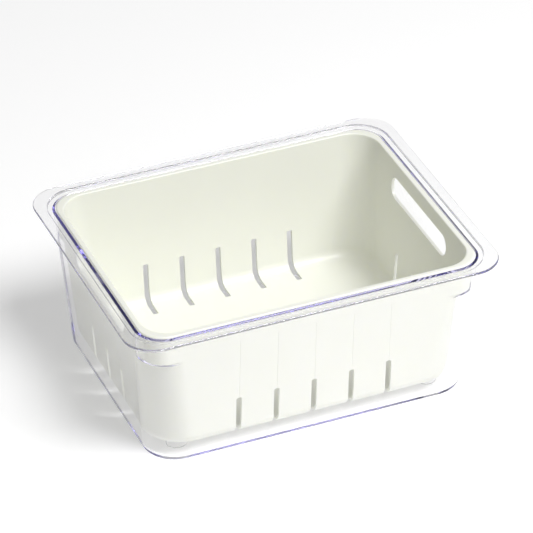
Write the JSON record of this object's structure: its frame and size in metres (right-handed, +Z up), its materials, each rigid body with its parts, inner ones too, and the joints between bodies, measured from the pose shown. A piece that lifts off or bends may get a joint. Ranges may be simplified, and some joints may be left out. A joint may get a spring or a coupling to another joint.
{
  "type": "fridge bin",
  "caption": "Clear open-topped fridge bin with a stepped rim and a white lift-out colander that hangs inside it for rinsing and draining produce.",
  "frame": {"origin": "on the ground under the middle of the bin, at the bottom of its feet", "axes": "+X along the bin's length, towards one end wall; +Y towards one long wall; +Z up, the way the colander lifts out"},
  "size_m": [0.29, 0.228, 0.117],
  "materials": {
    "clear_plastic": "clear, polished",
    "white_plastic": "satin"
  },
  "bodies": {
    "bin": {"clear_bin": "clear_plastic"},
    "colander": {"colander": "white_plastic"}
  },
  "joints": [
    {"name": "colander_lift", "type": "slide", "parent": "bin", "child": "colander", "axis": [0, 0, 1], "range_m": [0, 0.12]}
  ]
}
